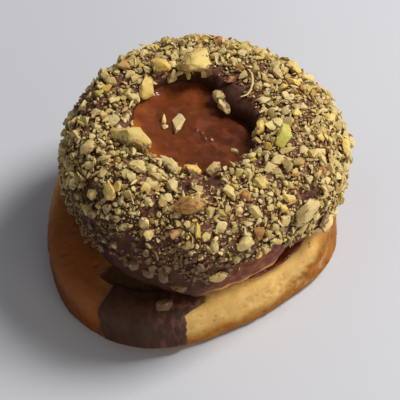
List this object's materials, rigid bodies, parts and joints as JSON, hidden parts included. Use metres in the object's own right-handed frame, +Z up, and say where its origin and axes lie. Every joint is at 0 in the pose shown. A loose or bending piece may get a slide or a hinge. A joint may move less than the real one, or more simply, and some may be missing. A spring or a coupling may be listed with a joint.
{
  "type": "sable cookie",
  "caption": "Round shortbread sandwich cookie: plain base, thin jam layer, and a thick chocolate-dipped ring rolled in chopped pistachio with jam showing in its hole.",
  "frame": {"origin": "middle of the base's flat underside, which is the surface it rests on", "axes": "+Z up through the cookie, -Y towards the chocolate run and the side the ring leaves barest, +X towards the side the ring is shifted to"},
  "size_m": [0.0574, 0.0567, 0.0313],
  "materials": {
    "shortbread": "baked, fine crumb",
    "jam": "wet gloss, translucent",
    "nut_coat": "rough, chopped nuts over dark chocolate",
    "chocolate": "satin, set chocolate"
  },
  "bodies": {
    "root": {"base_biscuit": "shortbread", "jam_filling": "jam", "pistachio_ring": "nut_coat", "chocolate_run": "chocolate"}
  },
  "joints": []
}
